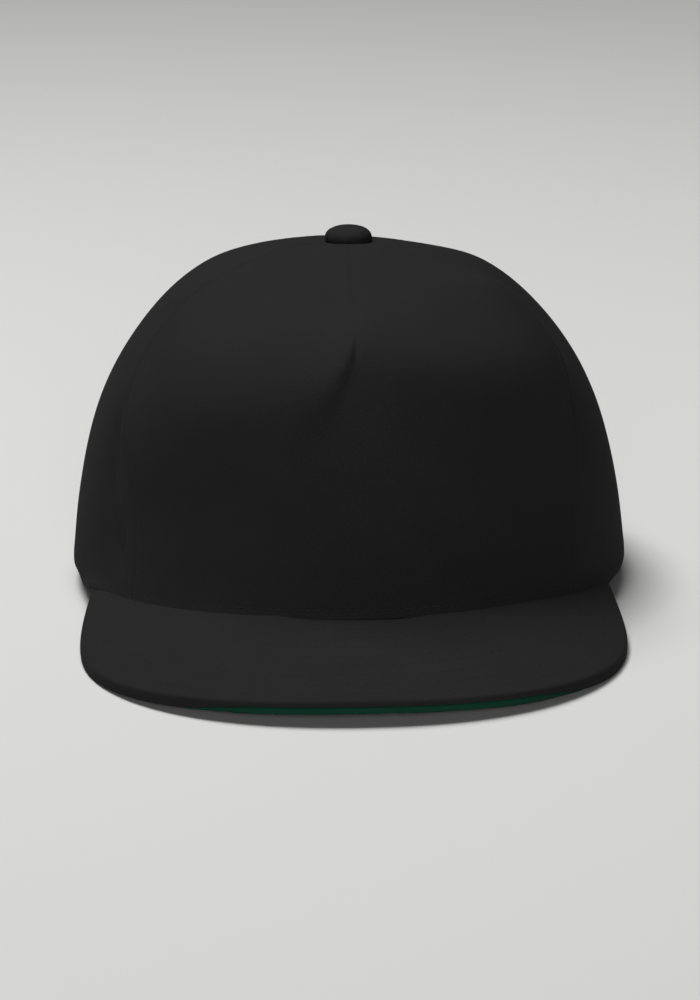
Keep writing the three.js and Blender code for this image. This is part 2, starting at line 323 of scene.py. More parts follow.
clothGloss = 0.06
twillWeave = makeTwill()
blackTwill = clothMaterial("blackTwill", {
    "dark": (0.0097, 0.0097, 0.01),
    "light": (0.0178, 0.0178, 0.0183),
    "rib": 0.7 * mm,
    "slant": 1.0,
    "relief": 0.35,
    "roughness": 0.86,
})
greenTwill = clothMaterial("greenTwill", {
    "dark": (0.0026, 0.0255, 0.0142),
    "light": (0.0063, 0.043, 0.0255),
    "rib": 0.7 * mm,
    "slant": 1.0,
    "relief": 0.35,
    "roughness": 0.84,
})
plainBacking = clothMaterial("plainBacking", {
    "dark": (0.009, 0.009, 0.0094),
    "light": (0.0168, 0.0168, 0.0175),
    "rib": 1.3 * mm,
    "slant": 0.0,
    "relief": 0.5,
    "roughness": 0.9,
})
bandCotton = clothMaterial("bandCotton", {
    "dark": (0.0095, 0.0095, 0.0099),
    "light": (0.018, 0.018, 0.0187),
    "rib": 0.7 * mm,
    "slant": -1.0,
    "relief": 0.3,
    "roughness": 0.88,
})


def threadMaterial(name, colour):
    material, tree, shader = newMaterial(name, Roughness=0.8, Specular_IOR_Level=clothGloss)
    place = tree.nodes.new("ShaderNodeTexCoord").outputs["Object"]
    fibres = noiseNode(tree, place, 3000, 2)
    mixColours(tree, fibres, [c * 0.75 for c in colour], [c * 1.25 for c in colour], shader)
    bumpNode(tree, fibres, 0.4, 0.05 * mm, shader)
    return material


blackThread = threadMaterial("blackThread", (0.0165, 0.0165, 0.017))
greenThread = threadMaterial("greenThread", (0.005, 0.037, 0.022))


def makePlastic():
    material, tree, shader = newMaterial("satinPlastic", Roughness=0.42, Specular_IOR_Level=0.45)
    place = tree.nodes.new("ShaderNodeTexCoord").outputs["Object"]
    grain = noiseNode(tree, place, 1500, 2)
    smudges = noiseNode(tree, place, 60, 4)
    mixColours(tree, smudges, (0.008, 0.008, 0.0084), (0.015, 0.015, 0.0157), shader)
    rough = mathNode(tree, "ADD", mathNode(tree, "MULTIPLY", smudges, 0.18), 0.34)
    tree.links.new(rough, shader.inputs["Roughness"])
    bumpNode(tree, grain, 0.25, 0.05 * mm, shader)
    return material


satinPlastic = makePlastic()
print("materials made")


# Crown forms: each CAD panel made smooth, to lay the cloth on

def clothForm(node):
    form = mergedCopy(node, node + "_form")
    editMesh(form, "EDGE")
    bpy.ops.mesh.edges_select_sharp(sharpness=math.radians(50))
    bpy.ops.transform.edge_crease(value=1)
    objectMode()
    subdivide(form, 3)
    form.data.transform(rimFrame.inverted())
    tree = castingTree(form)
    bpy.data.objects.remove(form)
    return tree


crown = {
    "wall": 2.0 * mm,
    "gap": 0.3 * mm,  # between the CAD panels
    "meet": 0.03 * mm,  # how far the cloths go past the middle of a gap
    "fold": 0.35 * mm,  # radius of a panel's turned edge
    "seamDip": 0.22 * mm,  # how far a seam lies below the cloth round it
    "seamWidth": 1.5 * mm,
    "flatter": (72 * mm, 92 * mm, 0.65),  # the heights between which seams lose a share of their depth
    "stitchLine": 1.45 * mm,  # topstitching beside a seam
    "channel": 0.13 * mm,  # how deep stitching pulls the cloth in
    "channelWidth": 0.5 * mm,
    "puff": (3.4 * mm, 1.9 * mm, 1.9 * mm, 0.1 * mm),  # the hill of cloth that stands up beside a seam
    "rimLine": 2.6 * mm,  # stitching above the rim
    "shoulder": 50 * mm,  # below it rows lie level, above it they fan out round this height on the axis
    "fanStep": math.radians(1.7),
    "narrow": 28 * mm,  # where a row is shorter, its steps are scaled down
    "holeRadius": 4.4 * mm,
    "holeHeight": 100.6 * mm,
    "archHalfWidth": 38 * mm,
    "archHeight": 47 * mm,
    "hemLine": 7.0 * mm,  # second row of stitching round the rear opening
    "hemEnd": 20 * mm,  # the hem isn't felt further from the opening
    "endStep": (1.0 * mm, 0.15),  # between the places that a face is carried on from, and its largest angle
    "carriedOn": 0.6 * mm,  # the stretch at both ends of a row that lies straight
    "seamPull": 3 * mm,  # how far from a seam the cloth is moved to meet it
}
seamSteps = [d * mm for d in (0, 0.2, 0.45, 0.8, 1.15, 1.45, 1.75, 2.2, 3.0, 4.4, 6.2)]
hemSteps = [d * mm for d in (0, 0.2, 0.45, 0.8, 1.15, 1.45, 1.75, 2.3, 3.4, 4.8, 6.0, 6.6, 7.0, 7.4, 8.2, 10)]
rimSteps = [d * mm for d in (0, 0.2, 0.5, 0.95, 1.5, 2.1, 2.6, 3.1, 3.8, 4.8)]
# Hills, here and below, are as hill() takes them, and pairs are the ends that ease() goes between
dart = {
    "start": -0.4 * mm,  # its line drifts to the right of the middle on its way down
    "end": 1.0 * mm,
    "endHeight": 75 * mm,
    "dimple": {"depth": 1.1 * mm, "across": 0.9 * mm, "height": 74 * mm, "radius": 7 * mm},  # the CAD model's
    "ridge": (0, 0.4 * mm, 1.0 * mm, 0.21 * mm),
    "ridgeEnds": (-3 * mm, 0.5 * mm),  # below the dart's end
    "ridgeStarts": (9 * mm, 20 * mm),  # in front of the button
    "peak": {"across": -1.3 * mm, "radius": 1.6 * mm, "height": 0.85 * mm},
    "pit": {"across": 0.9 * mm, "above": 1.0 * mm, "stretch": 0.6, "radius": 0.9 * mm, "depth": 0.6 * mm},
    "fold": (0, 4 * mm, 1.5 * mm, 0.3 * mm),
    "foldFrom": -0.6 * mm,
    "foldSlope": Vector((0.55, 0.835)),  # how far it runs left and down
    "foldStarts": (-1 * mm, 2 * mm),
    "foldEnds": (5 * mm, 19 * mm),
    "wrinkle": {"across": 3.5 * mm, "below": 2.5 * mm, "slant": 0.8},
    "wrinkleWidth": (0, 0.8 * mm, 0.8 * mm, 0.22 * mm),
    "wrinkleLength": 2.2 * mm,
    "steps": [d * mm for d in (
        -7, -5, -3.6, -2.6, -1.8, -1.1, -0.6, -0.25, 0, 0.25, 0.6, 1.1, 1.8, 2.8, 4, 6)],
}

# The front's bend over the head, in millimetres across and up. Its parts to the right and left of the dart's
# end meet in a border that runs down to the left from there. A slope's last number is its height.
bend = {
    "borderSlant": 0.63,
    "borderWidth": (1.0 * mm, 0.22),  # at the dart's end, and its growth with each length below
    "borderAbove": (7 * mm, 5 * mm),  # its width higher up, and how high that is
    "top": 76.5,
    "topHill": (4, 8, 8, 2),
    "topSlopes": {"right": (6, 18, 2.2), "sides": (14, 56, 5)},
    "leftTop": 69.3,
    "leftHill": (-12, 11, 11, 2.6),
    "leftSlope": (22, 50, 4),
    "push": 1.6,
    "pushHills": [(6, 26, 26, 1.6), (9, 14, 14, 1.1)],
    "above": 10,  # half widths of the bend
    "below": (12.5, 17),  # right and left
    "step": (6, 22, 22, 0.75),
    "stepStart": 6,
    "stepEnd": (14, 76, 0.6),
    "fromSeam": (0, 32 * mm),
}

# Unevenness of the sewn crown. Azimuths are in degrees, 0 straight ahead and 90 to the right.
uneven = {
    "swell": 0.2 * mm,
    "smallSwell": 0.06 * mm,
    "waves": ((42 * mm, Vector()), (13 * mm, Vector((7, 3, 1)))),
    "quiet": (0, 8 * mm),  # none at the edges
    "seamShoulder": 1.9 * mm,  # of the right front seam
    "seamReach": {"front": 18 * mm, "side": 7 * mm},
    "seamRise": (54 * mm, 72 * mm),
    "seamFall": (88 * mm, 98 * mm),
    "leftFull": (-48 * mm, 26 * mm, 26 * mm, 0.7 * mm),  # the left shoulder is fuller
    "leftLevel": (64 * mm, 84 * mm),
    "rightFlat": (24 * mm, 17 * mm, 17 * mm, 1.0 * mm),  # the right one is flatter beside the button
    "rightLevel": (90 * mm, 98 * mm),
    "peak": (0, 30 * mm, 30 * mm, 1.0 * mm),
    "buttonDip": (0, 11 * mm, 11 * mm, 0.8 * mm),
    "seamAzimuth": (-45, -54),  # the left front seam, at the rim and at the top of its level stretch
    "seamLevel": (0, 48 * mm),
    "valley": (-6.2, 2, 2, 2.4 * mm),  # beside that seam
    "valleyStarts": (2 * mm, 18 * mm),
    "valleyEnds": (42 * mm, 62 * mm),
    "foot": 12 * mm,  # the height that the flare above the bill ends at
    "leftFlare": (-45, 18, 28, 1.7 * mm),
    "waist": (26 * mm, 16 * mm, 16 * mm, 2.0 / 1.7),  # the hollow above it, as a share of it
    "frontFlare": (0, 60, 60, 0.6 * mm),
    "lips": [(-62, 5, 7, 1.6 * mm), (60, 14, 14, 0.6 * mm)],
    "lipHeight": (0.3 * mm, 4.5 * mm),
    "hangs": [(-68, 4.5, 5, 2.6 * mm), (65, 12, 12, 1.8 * mm)],  # the rim beside the bill's ends
    "hangHeight": (-2 * mm, 26 * mm),
    "sunk": (0.5 * mm, 0.13),  # the rim in the bill, and the share of the flare that is added
    "sunkHeight": (0, 8 * mm),
    "billEnd": (57, 66),
    "droop": 1.2 * mm,  # of the bill's right rear corner
    "droopAcross": (38 * mm, 76 * mm),
    "droopBack": (-95 * mm, -60 * mm),
    "bow": (40 * mm, 60 * mm),  # where the way out of the crown starts to turn up, and how fast
}
forms = {name: clothForm(name) for name in (
    "front_panel", "side_panel_left", "side_panel_right", "back_panel_left", "back_panel_right")}
print("crown forms made")


outside = 0.25  # from where rays are cast at the crown


# Where the ray of a row meets a crown form. A row is a level on the axis and a turn upwards.
def onForm(tree, azimuth, row):
    level, turn = row
    out = Vector((math.sin(azimuth) * math.cos(turn), -math.cos(azimuth) * math.cos(turn), math.sin(turn)))
    return tree.ray_cast(Vector((0, 0, level)) + out * outside, -out)[0]


# Azimuth where a form ends, between one that it covers and one that it doesn't
def formEdge(tree, row, covered, bare):
    for _ in range(18):
        middle = (covered + bare) / 2
        if onForm(tree, middle, row):
            covered = middle
        else:
            bare = middle
    return covered


def archEdge(tree, height, side):
    x = crown["archHalfWidth"] * math.sqrt(max(0, 1 - (height / crown["archHeight"]) ** 2))
    place = tree.ray_cast(Vector((side * max(x, crown["gap"]), outside, height)), Vector((0, -1, 0)))[0]
    return math.atan2(place.x, -place.y) if place else None


# Distance outside the rear opening's edge, for a place at x across and z up
def fromArch(x, z):
    a, b = crown["archHalfWidth"], crown["archHeight"]
    reach = math.hypot(x / a, z / b)
    slope = math.hypot(x / a ** 2, z / b ** 2) / reach
    return (reach - 1) / slope


def levelRows(heights):
    return [(max(h, 0.05 * mm), 0.0) for h in heights]


def fannedRows(first):
    last = math.atan2(crown["holeHeight"] - crown["shoulder"], crown["holeRadius"])
    count = round((last - first) / crown["fanStep"])
    return [(crown["shoulder"], turn) for turn in spaced(first, last, count + 1)]


panelRows = levelRows(rimSteps + spaced(6.4 * mm, 47.5 * mm, 17)) + fannedRows(0)
archTurns = [math.radians(t) for t in spaced(0, 90, 24)]
archHeights = [crown["archHeight"] * math.sin(t) for t in archTurns]
archHeights = [h for h in archHeights if h > rimSteps[-1] + 1 * mm]
hemRows = [crown["archHeight"] + d * mm for d in (0.25, 0.55, 0.95, 1.45, 1.9, 2.4)]
hemTurns = [(crown["shoulder"], math.radians(t)) for t in (0, 0.7, 1.4, 1.9, 2.3, 2.6, 3.1, 3.8)]
backRows = levelRows(rimSteps + archHeights + hemRows) + hemTurns + fannedRows(math.radians(5))


# Distances from a panel's left edge for its columns, closer together at the edges and round the dart
def acrossPanel(width, scale, left, right, middle, dartAt=None):
    first = [d * scale for d in left]
    last = [width - d * scale for d in reversed(right)]
    if dartAt is None:
        return first + spaced(first[-1], last[0], middle + 2)[1:-1] + last
    centre = [dartAt + d * scale for d in dart["steps"]]
    half = middle // 2
    before = spaced(first[-1], centre[0], half + 2)[1:-1]
    after = spaced(centre[-1], last[0], half + 2)[1:-1]
    return first + before + centre + after + last


# How deep a turned edge and its stitching lie, a distance from the edge
def edgeDepth(distance, stitchLine, scale=1.0):
    distance = distance / scale
    depth = crown["seamDip"] * bell(distance / crown["seamWidth"]) - hill(distance, *crown["puff"])
    if distance < crown["fold"]:
        depth += crown["fold"] - math.sqrt(crown["fold"] ** 2 - (crown["fold"] - distance) ** 2)
    if stitchLine:
        depth += channelDepth(distance - stitchLine)
    return depth * scale


def channelDepth(distance):
    return crown["channel"] * bell(distance / crown["channelWidth"])


def dartLine(place):
    return lerp(dart["start"], dart["end"], ease(place.z, crown["holeHeight"], dart["endHeight"]))


# The dart is a low ridge that ends in a small peak, from which a soft fold runs down to the left.
# The CAD model's dimple is filled for it.
def dartDepth(offset, place):
    x = offset - dartLine(place)
    below = dart["endHeight"] - place.z
    dimple, peak, pit, wrinkle = (dart[part] for part in ("dimple", "peak", "pit", "wrinkle"))
    away = math.hypot(offset - dimple["across"], place.z - dimple["height"])
    raised = dimple["depth"] * bell(away / dimple["radius"])
    shown = (1 - ease(below, *dart["ridgeEnds"])) * ease(-place.y, *dart["ridgeStarts"])
    raised += hill(x, *dart["ridge"]) * shown
    raised += peak["height"] * bell(math.hypot(x - peak["across"], below) / peak["radius"])
    down = dart["foldSlope"] @ Vector((-x, below))
    beside = dart["foldSlope"] @ Vector((below, x - dart["foldFrom"]))
    shown = ease(down, *dart["foldStarts"]) * (1 - ease(down, *dart["foldEnds"]))
    raised += hill(beside, *dart["fold"]) * shown
    away = math.hypot(x - pit["across"], (below + pit["above"]) * pit["stretch"])
    sunk = pit["depth"] * bell(away / pit["radius"])
    below -= wrinkle["below"]
    beside = x - wrinkle["across"] - wrinkle["slant"] * below
    sunk += hill(beside, *dart["wrinkleWidth"]) * bell(below / dart["wrinkleLength"])
    return sunk - raised


def slope(x, low, high, height):
    return height * ease(x, low, high)


# Where the front panel turns back over the head: lower on the left, with a step down-left from the dart
def frontShoulder(offset, place, fromSeam):
    below = dart["endHeight"] - place.z
    beside = offset - dartLine(place) + bend["borderSlant"] * max(0, below)
    width, growth = bend["borderWidth"]
    wider, height = bend["borderAbove"]
    width = width + growth * below if below > 0 else lerp(width, wider, ease(-below, 0, height))
    left = 1 - ease(beside, -width, width)
    x, z = offset / mm, place.z / mm
    falls = bend["topSlopes"]
    top = bend["top"] + hill(x, *bend["topHill"]) - slope(x, *falls["right"]) - slope(abs(x), *falls["sides"])
    leftTop = bend["leftTop"] + hill(x, *bend["leftHill"]) - slope(-x, *bend["leftSlope"])
    under = max(0, lerp(top, leftTop, left) - z)
    push = bend["push"] + sum(hill(x, *each) for each in bend["pushHills"])
    if z > top:
        push *= bell((z - top) / bend["above"])
    else:
        step = hill(x, *bend["step"]) * (1 - left) * (1 - bell(under / bend["stepStart"]))
        step *= 1 - slope(under, *bend["stepEnd"])
        push = push * bell(under / lerp(*bend["below"], left)) - step
    return push * mm * ease(fromSeam, *bend["fromSeam"])


# The way out of the crown, the same for both panels at a seam
def outward(place):
    start, growth = uneven["bow"]
    up = max(0, place.z - start) / growth ** 2
    return Vector((place.x / rim["side"] ** 2, place.y / rim["front"] ** 2, up)).normalized()


def azimuthOf(place):
    return math.degrees(math.atan2(place.x, -place.y))


# The right front seam stands out at the shoulder
def seamShoulder(distance, place, reach):
    level = ease(place.z, *uneven["seamRise"]) * (1 - ease(place.z, *uneven["seamFall"]))
    return uneven["seamShoulder"] * bell(distance / reach) * level


def swell(place, quiet):
    wide, small = (noise.noise(place / size + shift) for size, shift in uneven["waves"])
    return (uneven["swell"] * wide + uneven["smallSwell"] * small) * quiet


def fullness(place):
    away = math.hypot(place.x, place.y)
    left = hill(place.x, *uneven["leftFull"]) * ease(place.z, *uneven["leftLevel"])
    right = hill(place.x, *uneven["rightFlat"]) * ease(place.z, *uneven["rightLevel"])
    return left - right + hill(away, *uneven["peak"]) - hill(away, *uneven["buttonDip"])


# The valley behind the left front seam
def valley(place):
    seam = lerp(*uneven["seamAzimuth"], ease(place.z, *uneven["seamLevel"]))
    tall = ease(place.z, *uneven["valleyStarts"]) * (1 - ease(place.z, *uneven["valleyEnds"]))
    return hill(azimuthOf(place) - seam, *uneven["valley"]) * tall


# Above the bill the crown's foot flares and its edge stands out, most of all on its left
def flare(place):
    azimuth = azimuthOf(place)
    foot = max(0, 1 - place.z / uneven["foot"]) ** 2
    left = hill(azimuth, *uneven["leftFlare"]) * (foot - hill(place.z, *uneven["waist"]))
    lip = sum(hill(azimuth, *each) for each in uneven["lips"]) * (1 - ease(place.z, *uneven["lipHeight"]))
    return left + hill(azimuth, *uneven["frontFlare"]) * foot + lip


def droop(x, y):
    return uneven["droop"] * ease(x, *uneven["droopAcross"]) * ease(y, *uneven["droopBack"])


def overBill(place):
    return 1 - ease(abs(azimuthOf(place)), *uneven["billEnd"])


# Beside the bill's ends the rim hangs lower, and along the bill it is sunk in
def hang(place):
    azimuth = azimuthOf(place)
    low = sum(hill(azimuth, *each) for each in uneven["hangs"]) * (1 - ease(place.z, *uneven["hangHeight"]))
    depth, share = uneven["sunk"]
    sunk = depth + share * max(0, flare(place)) + droop(place.x, place.y)
    return low + sunk * overBill(place) * (1 - ease(place.z, *uneven["sunkHeight"]))


kinds = {
    "front": {"rows": panelRows, "middle": 44, "stitched": True},
    "side": {"rows": panelRows, "middle": 20, "stitched": False},
    "back": {"rows": backRows, "middle": 18, "stitched": True},
}
# In order round the head, with an azimuth that each covers and two past its ends, and the end at the opening
panels = [
    {"node": "back_panel_left", "kind": "back", "covered": -140, "bare": (-180, -100), "rear": 0},
    {"node": "side_panel_left", "kind": "side", "covered": -88, "bare": (-135, -30)},
    {"node": "front_panel", "kind": "front", "covered": 0, "bare": (-80, 80)},
    {"node": "side_panel_right", "kind": "side", "covered": 88, "bare": (30, 135)},
    {"node": "back_panel_right", "kind": "back", "covered": 140, "bare": (100, 180), "rear": 1},
]


# Where a form's outer face ends and a place a little further in. A ray at the edge may meet the end's wall,
# so the face is carried on from three places within it.
def faceEnd(panel, side, row, edge):
    tree = forms[panel["node"]]
    place = onForm(tree, edge, row)
    length, most = crown["endStep"]
    step = min(length / place.xy.length, most) * (-1 if side else 1)
    near, further, last = [onForm(tree, edge + step * n, row) for n in (1, 2, 3)]
    return near * 3 - further * 3 + last, near


def panelEdge(panel, side, row):
    covered, bare = math.radians(panel["covered"]), math.radians(panel["bare"][side])
    return formEdge(forms[panel["node"]], row, covered, bare)


# Middle of the gap between a panel and its neighbour, and a little further for the cloths to meet
def seamPlace(panel, side, row, edge):
    beside = panels[(panels.index(panel) + (1 if side else -1)) % len(panels)]
    own, near = faceEnd(panel, side, row, edge)
    other, _ = faceEnd(beside, 1 - side, row, panelEdge(beside, 1 - side, row))
    return (own + other) / 2 + (own - near).normalized() * crown["meet"]


# The place a length along a row of samples, carried straight on at both ends
def placeOn(tree, row, samples, lengths, length):
    inside = min(max(length, crown["carriedOn"]), lengths[-1] - crown["carriedOn"])
    i, t = stretchAt(lengths, inside)
    (start, first), (end, last) = samples[i:i + 2]
    place = onForm(tree, lerp(start, end, t), row) or first.lerp(last, t)
    if length == inside:
        return place
    (_, first), (_, last) = samples[:2] if length < inside else samples[-2:]
    return place + (last - first).normalized() * (length - inside)


# One row of a panel: its places, their distances from its left edge, its width, the scale of its steps, and
# the places' distances from its dart or its middle
def panelRow(panel, row):
    tree = forms[panel["node"]]
    rear = panel.get("rear")
    ends = [panelEdge(panel, side, row) for side in (0, 1)]
    reach = [crown["gap"] / 2, crown["gap"] / 2]
    if rear is not None and row[1] == 0 and row[0] < crown["archHeight"] - 0.01 * mm:
        reach[rear] = 0
        ends[rear] = archEdge(tree, row[0], 2 * rear - 1) or ends[rear]
    samples = [(azimuth, onForm(tree, azimuth, row)) for azimuth in spaced(*ends, 40)]
    samples = [sample for sample in samples if sample[1]]
    # Side 0 is a row's left end and side 1 its right one, and -side is the index of the place there
    for side in (0, 1):
        if reach[side]:
            samples[-side] = (ends[side], faceEnd(panel, side, row, ends[side])[0])
    lengths = lengthsAlong([place for _, place in samples])
    width = lengths[-1] + sum(reach)
    scale = min(1, width / crown["narrow"])
    zero, dartAt = width / 2, None
    if panel["kind"] == "front":
        # Its dart is measured from straight ahead
        ahead = onForm(tree, 0, row)
        before = sum(1 for azimuth, _ in samples if azimuth < 0)
        zero = reach[0] + lengths[before - 1] + (ahead - samples[before - 1][1]).length
        dartAt = zero + dartLine(ahead) * scale
    steps = [hemSteps if side == rear else seamSteps for side in (0, 1)]
    distances = acrossPanel(width, scale, *steps, kinds[panel["kind"]]["middle"], dartAt)
    places = [placeOn(tree, row, samples, lengths, d - reach[0]) for d in distances]
    # Both panels at a seam end on the line between their forms
    for side in (0, 1):
        if reach[side]:
            shift = seamPlace(panel, side, row, ends[side]) - places[-side]
            gaps = [width - d if side else d for d in distances]
            pulls = [bell(gap / (crown["seamPull"] * scale)) for gap in gaps]
            places = [place + shift * pull for place, pull in zip(places, pulls)]
    return places, distances, width, scale, [d - zero for d in distances]


# How far a place of a panel's cloth lies inside its form, and how far the crown bulges there. Its gaps are
# its distances from the panel's two edges, and its offset is the one from the dart.
def reliefAt(panel, place, gaps, scale, offset):
    line = crown["stitchLine"] if kinds[panel["kind"]]["stitched"] else None
    archGap = fromArch(place.x, place.z) if "rear" in panel else far
    *heights, share = crown["flatter"]
    depth = sum(edgeDepth(gap, line, scale) for gap in gaps) * (1 - share * ease(place.z, *heights))
    channel = 0.5 * channelDepth(place.z - crown["rimLine"])
    depth += lerp(edgeDepth(place.z, crown["rimLine"]), channel, overBill(place))
    if archGap < crown["hemEnd"]:
        depth += edgeDepth(max(archGap, 0), crown["stitchLine"]) + channelDepth(archGap - crown["hemLine"])
    depth -= swell(place, ease(min(*gaps, archGap), *uneven["quiet"]) * ease(place.z, *uneven["quiet"]))
    bulge = flare(place) + fullness(place) - valley(place)
    if panel["kind"] == "front":
        depth += dartDepth(offset / scale, place) - frontShoulder(offset, place, min(gaps))
        bulge += seamShoulder(gaps[1], place, uneven["seamReach"]["front"])
    if panel["node"] == "side_panel_right":
        bulge += seamShoulder(gaps[0], place, uneven["seamReach"]["side"])
    return depth, bulge


def layPanel(panel):
    levels = kinds[panel["kind"]]["rows"]
    rows = [panelRow(panel, row) for row in levels]
    columns = len(rows[0][0])
    sheet = gridSheet(panel["node"].replace("panel", "cloth"), len(rows), columns)
    vertices = sheet.data.vertices
    along = lengthsAlong([places[columns // 2] for places, *_ in rows])
    for vertex, place in zip(vertices, [place for places, *_ in rows for place in places]):
        vertex.co = place
    layMap(sheet, [(offset, height) for (*_, offsets), height in zip(rows, along) for offset in offsets])
    sheet.data.update()
    normals = [v.normal.copy() for v in vertices]
    addModifier(sheet, "SOLIDIFY", thickness=crown["wall"], offset=-1, use_even_offset=True,
                material_offset=1, material_offset_rim=0)
    applyModifiers(sheet)
    # The outer layer's vertices come first: they take the folds, seams and stitching
    vertices = sheet.data.vertices
    for j, (places, distances, width, scale, offsets) in enumerate(rows):
        for i, place in enumerate(places):
            gaps = [distances[i], width - distances[i]]
            if "rear" in panel and levels[j][0] < crown["archHeight"]:
                gaps[panel["rear"]] = far
            depth, bulge = reliefAt(panel, place, gaps, scale, offsets[i])
            k = j * columns + i
            vertices[k].co = place - normals[k] * depth + outward(place) * bulge
    for vertex in vertices:
        vertex.co.z -= hang(vertex.co)
    sewn = [(v.co.copy(), normal) for v, normal in zip(vertices, normals)]
    subdivide(sheet, 1)
    finishPiece(sheet, [blackTwill, plainBacking], panel["node"])
    return [sewn[k:k + columns] for k in range(0, len(sewn), columns)]


panelGrids = {panel["node"]: layPanel(panel) for panel in panels}
print("crown cloth laid")


# Stitches: one curved stitch, set along each sewn line

thread = {"length": 2.5 * mm, "thickness": 0.42 * mm, "flatness": 0.5, "pitch": 3.0 * mm,
          "dip": 0.16 * mm}


def makeStitch():
    bpy.ops.object.select_all(action="DESELECT")
    bpy.ops.mesh.primitive_uv_sphere_add(segments=8, ring_count=7, radius=thread["thickness"] / 2)
    stitch = bpy.context.object
    stitch.name = "stitch"
    bpy.ops.object.mode_set(mode="EDIT")
    bpy.ops.transform.rotate(value=math.pi / 2, orient_axis="Y", center_override=(0, 0, 0))
    bpy.ops.transform.resize(value=(thread["length"] / thread["thickness"], 1, thread["flatness"]))
    objectMode()
    for vertex in stitch.data.vertices:
        vertex.co.z -= thread["dip"] * (2 * vertex.co.x / thread["length"]) ** 2
    selectOnly(stitch)
    bpy.ops.object.shade_smooth()
    return stitch


def makeSewing(stitch):
    tree = bpy.data.node_groups.new("sewnLine", "GeometryNodeTree")
    tree.interface.new_socket("Geometry", in_out="INPUT", socket_type="NodeSocketGeometry")
    tree.interface.new_socket("Geometry", in_out="OUTPUT", socket_type="NodeSocketGeometry")
    into = tree.nodes.new("NodeGroupInput")
    out = tree.nodes.new("NodeGroupOutput")
    one = tree.nodes.new("GeometryNodeObjectInfo")
    one.inputs["Object"].default_value = stitch
    axes = []
    for name in ("along", "up"):
        attribute = tree.nodes.new("GeometryNodeInputNamedAttribute")
        attribute.data_type = "FLOAT_VECTOR"
        attribute.inputs["Name"].default_value = name
        axes.append(attribute)
    turn = tree.nodes.new("FunctionNodeAxesToRotation")
    turn.primary_axis = "X"
    turn.secondary_axis = "Z"
    tree.links.new(axes[0].outputs["Attribute"], turn.inputs["Primary Axis"])
    tree.links.new(axes[1].outputs["Attribute"], turn.inputs["Secondary Axis"])
    spread = tree.nodes.new("GeometryNodeInstanceOnPoints")
    tree.links.new(into.outputs[0], spread.inputs["Points"])
    tree.links.new(one.outputs["Geometry"], spread.inputs["Instance"])
    tree.links.new(turn.outputs["Rotation"], spread.inputs["Rotation"])
    real = tree.nodes.new("GeometryNodeRealizeInstances")
    tree.links.new(spread.outputs["Instances"], real.inputs["Geometry"])
    tree.links.new(real.outputs["Geometry"], out.inputs[0])
    return tree


stitch = makeStitch()
sewnLine = makeSewing(stitch)


# Stitches along lines of (place, normal), raised a little out of the channel that they lie in
def sew(name, lines, material, lift=0.02 * mm):
    centres, alongs, ups = [], [], []
    for line in lines:
        lengths = lengthsAlong([place for place, _ in line])
        count = int(lengths[-1] / thread["pitch"])
        start = (lengths[-1] - count * thread["pitch"]) / 2 + thread["pitch"] / 2
        for n in range(count):
            i, t = stretchAt(lengths, start + n * thread["pitch"])
            (a, up), (b, nextUp) = line[i:i + 2]
            normal = up.lerp(nextUp, t).normalized()
            centres.append(a.lerp(b, t) + normal * lift)
            alongs.append((b - a).normalized())
            ups.append(normal)
    bpy.ops.object.select_all(action="DESELECT")
    mesh = bpy.data.meshes.new(name)
    mesh.from_pydata(centres, [], [])
    for label, vectors in (("along", alongs), ("up", ups)):
        attribute = mesh.attributes.new(label, "FLOAT_VECTOR", "POINT")
        attribute.data.foreach_set("vector", [c for vector in vectors for c in vector])
    row = bpy.data.objects.new(name, mesh)
    bpy.context.collection.objects.link(row)
    addModifier(row, "NODES", node_group=sewnLine)
    applyModifiers(row)
    finishPiece(row, material)


# A line up a panel, from a row to where the button hides it
def columnLine(node, index, fromRow=1):
    return [line[index] for line in panelGrids[node][fromRow:-3]]


def stepIndex(steps, distance):
    return min(range(len(steps)), key=lambda i: abs(steps[i] - distance))


seamColumn = stepIndex(seamSteps, crown["stitchLine"])
rimRow = stepIndex(rimSteps, crown["rimLine"])
aboveArch = len(rimSteps) + len(archHeights) + 4
seamLines = {
    "front_seam_stitches": [columnLine("front_panel", i) for i in (seamColumn, -1 - seamColumn)],
    "side_seam_stitches": [
        columnLine("back_panel_left", -1 - seamColumn),
        columnLine("back_panel_right", seamColumn),
    ],
    "back_seam_stitches": [
        columnLine("back_panel_left", seamColumn, aboveArch),
        columnLine("back_panel_right", -1 - seamColumn, aboveArch),
    ],
    "rim_stitches": [[spot for panel in panels for spot in panelGrids[panel["node"]][rimRow]]],
}
for name, lines in seamLines.items():
    sew(name, lines, blackThread)


# A line on the back panels a set distance outside the rear opening's edge
def hemLineAt(distance):
    line = []
    a, b = crown["archHalfWidth"], crown["archHeight"]
    for side, node in ((-1, "back_panel_left"), (1, "back_panel_right")):
        half = []
        for turn in spaced(0, math.pi / 2, 60):
            edge = Vector((a * math.cos(turn), b * math.sin(turn)))
            place = edge + Vector((edge.x / a ** 2, edge.y / b ** 2)).normalized() * distance
            start = Vector((side * place.x, outside, max(place.y, crown["stitchLine"])))
            hit, normal, *_ = forms[node].ray_cast(start, Vector((0, -1, 0)))
            if hit and place.x > crown["gap"]:
                half.append((hit - normal * crown["channel"], normal))
        line += half if side < 0 else half[::-1]
    return line


openingLines = [hemLineAt(crown[line]) for line in ("stitchLine", "hemLine")]
sew("opening_stitches", openingLines, blackThread)
print("crown sewn")


# Bill: two cloths over a board, which meet along its edge

